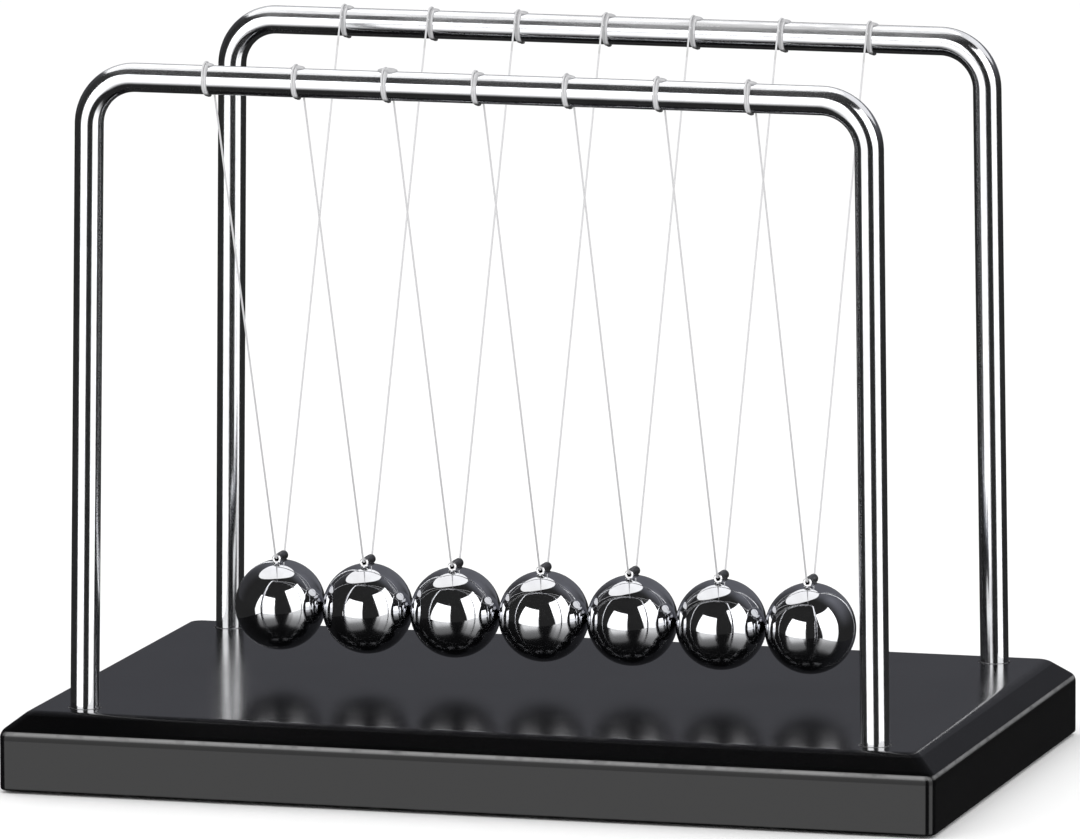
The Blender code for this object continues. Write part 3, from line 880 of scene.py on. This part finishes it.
def make_world():
    """White all round for the floor; reflections see a dark studio, two soft boxes and a faint backdrop."""
    world = bpy.data.worlds.new("studio")
    bpy.context.scene.world = world
    world.use_nodes = True
    tree = world.node_tree
    tree.nodes.clear()
    out = add_node(tree, "ShaderNodeOutputWorld")
    ray = add_node(tree, "ShaderNodeLightPath").outputs["Is Glossy Ray"]
    toward = add_node(tree, "ShaderNodeTexCoord").outputs["Generated"]
    x, y, z = add_node(tree, "ShaderNodeSeparateXYZ", {0: toward}).outputs
    degrees = 57.2958
    round_by = maths(tree, "ARCTAN2", x, maths(tree, "MULTIPLY", y, -1.0))
    round_by = maths(tree, "MULTIPLY", round_by, degrees)
    up_by = maths(tree, "MULTIPLY", maths(tree, "ARCSINE", z), degrees)

    def soft_box(left, right, bottom, top, slope, soft):
        """Sides in degrees to the right of the front and above level; slope tips the top and bottom."""
        tilt = maths(tree, "SUBTRACT", up_by, maths(tree, "MULTIPLY", round_by, slope))
        from_left = smooth(tree, maths(tree, "SUBTRACT", round_by, left), -soft, soft)
        across = maths(tree, "MULTIPLY", from_left, window(tree, round_by, -170, right, soft))
        return maths(tree, "MULTIPLY", across, window(tree, tilt, bottom, top, soft))

    def ramp(value, low, high, gain):
        return maths(tree, "MULTIPLY", smooth(tree, value, low, high), gain)

    # Both boxes brighten in two steps with height, and the left side of each leans.
    left_level = maths(tree, "ADD", ramp(up_by, -48, -18, 1.45), ramp(up_by, 0, 12, 1.2))
    right_level = maths(tree, "ADD", ramp(up_by, -56, -18, 1.45), ramp(up_by, 0, 12, 1.2))
    left_lean = maths(tree, "MAXIMUM", maths(tree, "ADD", up_by, 5.0), 0.0)
    left_side = maths(tree, "ADD", maths(tree, "MULTIPLY", left_lean, 0.39), -50.5)
    right_lean = maths(tree, "MAXIMUM", up_by, -12.0)
    right_side = maths(tree, "ADD", maths(tree, "MULTIPLY", right_lean, -0.245), 43.0)
    left = soft_box(left_side, right=2.4, bottom=-60, top=24.5, slope=-0.09, soft=1.0)
    right = soft_box(right_side, right=89, bottom=-60, top=38.0, slope=0.144, soft=1.2)
    left = maths(tree, "MULTIPLY", left, left_level)
    right = maths(tree, "MULTIPLY", right, right_level)
    dark_level = 0.022
    total = maths(tree, "ADD", maths(tree, "ADD", left, right), dark_level)
    front = add_node(tree, "ShaderNodeBackground", {"Strength": total, "Color": (1, 1, 1, 1)})
    far_right = smooth(tree, x, 0.3, 0.5)
    middle = maths(tree, "MULTIPLY", smooth(tree, z, -0.03, 0.05), maths(tree, "SUBTRACT", 1.0, far_right))
    middle = maths(tree, "MULTIPLY", middle, maths(tree, "ADD", ramp(x, -0.75, -0.3, 0.097), 0.025))
    side = maths(tree, "MULTIPLY", far_right, ramp(z, -0.1, 0.8, 0.16))
    behind = maths(tree, "MULTIPLY", smooth(tree, y, -0.1, 0.5), maths(tree, "ADD", middle, side))
    backdrop = add_node(tree, "ShaderNodeBackground", {"Strength": behind, "Color": (0.95, 0.97, 1.12, 1)})
    studio = add_node(tree, "ShaderNodeAddShader", {0: front.outputs[0], 1: backdrop.outputs[0]})
    plain = add_node(tree, "ShaderNodeBackground", {"Strength": 1.08, "Color": (1, 1, 1, 1)})
    mix = add_node(tree, "ShaderNodeMixShader", {0: ray, 1: plain.outputs[0], 2: studio.outputs[0]})
    tree.links.new(mix.outputs[0], out.inputs["Surface"])


def make_lights():
    spots = (
        ("softbox_left", (-0.55, -0.75, 0.45), 0.6, 1.0),
        ("softbox_right", (0.85, -0.45, 0.45), 0.5, 0.7),
        ("softbox_overhead", (-0.05, 0.05, 0.95), 0.6, 0.9),
    )
    for name, place, size, power in spots:
        data = bpy.data.lights.new(name, "AREA")
        data.shape = "SQUARE"
        data.size = size
        data.energy = power
        light = bpy.data.objects.new(name, data)
        light.location = place
        light.rotation_euler = (Vector(place) * -1).to_track_quat("-Z", "Y").to_euler()
        light.visible_camera = False
        light.visible_glossy = False
        bpy.context.scene.collection.objects.link(light)


def make_panels():
    """Soft panels that only some pieces see: overhead, behind the rods, and two for the board's shine."""
    board = ["board_lacquered"]
    rods = [rail + "_hoop_chromed" for rail in RAILS]
    meshes = [obj.name for obj in bpy.data.objects if obj.type == "MESH"]
    rest = [name for name in meshes if name not in ("board_lacquered", "stage_floor")]
    for name, seen_by, azimuth, elevation, distance, wide, tall, level in (
        ("panel_overhead", rest, 235, 66, 0.57, 0.70, 0.55, 1.15),
        ("panel_behind", rods, 172, 58, 1.1, 2.4, 1.1, 0.85),
        ("panel_board_left", board, -24, 30, 1.1, 0.91, 0.61, 2.6),
        ("panel_board_right", board, 67, 32, 1.1, 0.75, 0.72, 1.8),
    ):
        data = bpy.data.lights.new(name, "AREA")
        data.shape = "ELLIPSE" if seen_by is rest else "RECTANGLE"
        data.size, data.size_y = wide, tall
        area = wide * tall * (math.pi / 4 if seen_by is rest else 1)
        data.energy = level * math.pi * area
        light = bpy.data.objects.new(name, data)
        place = direction(azimuth, elevation)
        light.location = place * distance + Vector((0, 0, 0.05))
        light.rotation_euler = (place * -1).to_track_quat("-Z", "Y").to_euler()
        if seen_by is rest:
            light.rotation_euler = (0, 0, 0)
        light.visible_camera = False
        light.visible_diffuse = False
        seers = bpy.data.collections.new(name + "_seers")
        for piece in seen_by:
            seers.objects.link(bpy.data.objects[piece])
        light.light_linking.receiver_collection = seers
        bpy.context.scene.collection.objects.link(light)


def make_camera():
    back, roll, distance = direction(15.86, 8.88), math.radians(-0.16), 2.6685
    target = Vector((-0.72 * MM, 0, BOARD_HIGH.z + 55.89 * MM))
    data = bpy.data.cameras.new("camera")
    data.sensor_width = 36.0
    data.lens = 427.5
    data.clip_start, data.clip_end = 0.1, 30.0
    camera = bpy.data.objects.new("camera", data)
    camera.location = target + back * distance
    camera.rotation_mode = "QUATERNION"
    turn = (-back).to_track_quat("-Z", "Y")
    camera.rotation_quaternion = turn @ Matrix.Rotation(roll, 4, "Z").to_quaternion()
    bpy.context.scene.collection.objects.link(camera)
    bpy.context.scene.camera = camera
    bpy.context.scene.view_settings.view_transform = "Standard"


make_board()
make_hoops()
make_fasteners()
make_feet()
make_pendulums()
make_wraps()
make_floor()
make_world()
make_lights()
make_panels()
make_camera()

bpy.context.view_layer.update()
